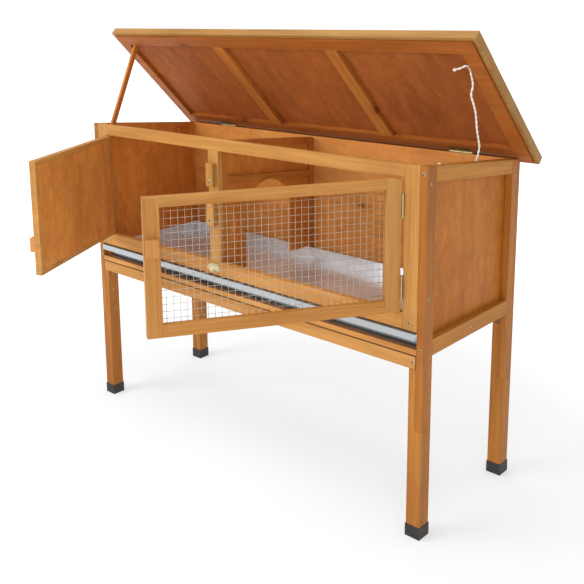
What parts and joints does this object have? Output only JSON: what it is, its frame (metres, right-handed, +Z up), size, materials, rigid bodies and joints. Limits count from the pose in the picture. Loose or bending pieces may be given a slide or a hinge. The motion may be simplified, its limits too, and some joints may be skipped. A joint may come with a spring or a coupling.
{
  "type": "small animal hutch",
  "caption": "Timber hutch on four legs with a propped lift-up lid, a solid door, a wire net door, an inner partition and a pull-out metal litter tray.",
  "frame": {"origin": "on the floor under the middle of the open hutch's outline", "axes": "+X to the right along the front, +Y from front to rear, +Z up"},
  "size_m": [1.235, 0.9496, 1.153],
  "materials": {
    "timber": "satin honey stain",
    "batten": "planed, light",
    "wall_ply": "stained ply",
    "lid_ply": "dark red-brown ply",
    "felt": "mineral roofing felt",
    "zinc": "zinc plated sheet",
    "wire": "galvanised wire",
    "hinge": "yellow passivated steel",
    "screw": "zinc plated",
    "cord": "twisted white cord",
    "foot_cap": "matte",
    "plate": "satin, bare"
  },
  "bodies": {
    "root": {"front_left_post": "timber", "front_left_leg": "timber", "front_right_post": "timber", "front_right_leg": "timber", "rear_left_post": "timber", "rear_left_leg": "timber", "rear_right_post": "timber", "rear_right_leg": "timber", "foot_caps": "foot_cap", "left_top_rail": "timber", "left_side_panel": "wall_ply", "front_left_stile": "timber", "right_top_rail": "timber", "right_side_panel": "wall_ply", "front_right_stile": "timber", "side_bottom_rails": "timber", "front_top_rail": "timber", "mullion": "timber", "sill": "timber", "front_tray_rail": "timber", "front_apron": "timber", "rear_top_rail": "timber", "rear_bottom_rail": "timber", "rear_middle_stile": "timber", "back_panel": "wall_ply", "tray_carriers": "timber", "partition_panel": "wall_ply", "partition_battens": "batten", "door_hinge_frame_leaves": "hinge", "lid_hinge_wall_leaves": "hinge", "hinge_pins": "hinge", "turn_button_screws": "screw", "prop_washer": "screw", "stick_rest_block": "batten", "wall_eye": "screw", "stay_cord": "cord", "frame_screws": "screw", "sill_plate": "plate"},
    "lid": {"lid_frame": "timber", "lid_battens": "batten", "lid_panel": "lid_ply", "lid_felt": "felt", "lid_trim": "timber", "lid_hinge_lid_leaves": "hinge", "lid_eye": "screw"},
    "prop_stick": {"prop_stick": "batten", "prop_screw": "screw"},
    "mesh_door": {"mesh_door_stiles": "timber", "mesh_door_rails": "timber", "wire_net": "wire", "mesh_door_handle": "timber", "mesh_door_leaves": "hinge"},
    "left_door": {"left_door_frame": "timber", "left_door_panel": "wall_ply", "left_door_handle": "timber", "left_door_leaves": "hinge"},
    "upper_turn_button": {"upper_turn_button": "timber"},
    "lower_turn_button": {"lower_turn_button": "timber"},
    "litter_tray": {"litter_tray": "zinc"}
  },
  "joints": [
    {"name": "lid_hinge", "type": "hinge", "parent": "root", "child": "lid", "pos_m": [0, 0.43926, 0.8312], "axis": [1, 0, 0], "range_deg": [0, 38.12], "deforming": ["stay_cord"]},
    {"name": "prop_stick_swing", "type": "hinge", "parent": "lid", "child": "prop_stick", "pos_m": [-0.5485, 0.16948, 1.09988], "axis": [1, 0, 0], "range_deg": [0, 67.25]},
    {"name": "mesh_door_hinge", "type": "hinge", "parent": "root", "child": "mesh_door", "pos_m": [0.52275, 0.01346, 0.6905], "axis": [0, 0, 1], "range_deg": [-58.5, 111.5]},
    {"name": "left_door_hinge", "type": "hinge", "parent": "root", "child": "left_door", "pos_m": [-0.52275, 0.01346, 0.6905], "axis": [0, 0, 1], "range_deg": [-105.7, 64.3]},
    {"name": "upper_turn_button_pivot", "type": "hinge", "parent": "root", "child": "upper_turn_button", "pos_m": [-0.06647, 0.01636, 0.76194], "axis": [0, 1, 0], "range_deg": [-90, 90]},
    {"name": "lower_turn_button_pivot", "type": "hinge", "parent": "root", "child": "lower_turn_button", "pos_m": [-0.06647, 0.01636, 0.65493], "axis": [0, 1, 0], "range_deg": [-90, 90]},
    {"name": "tray_slide", "type": "slide", "parent": "root", "child": "litter_tray", "axis": [0, -1, 0], "range_m": [0, 0.36]}
  ],
  "couplings": [
    {"joint": "prop_stick_swing", "follows": "lid_hinge", "ratio": 1.7628}
  ]
}
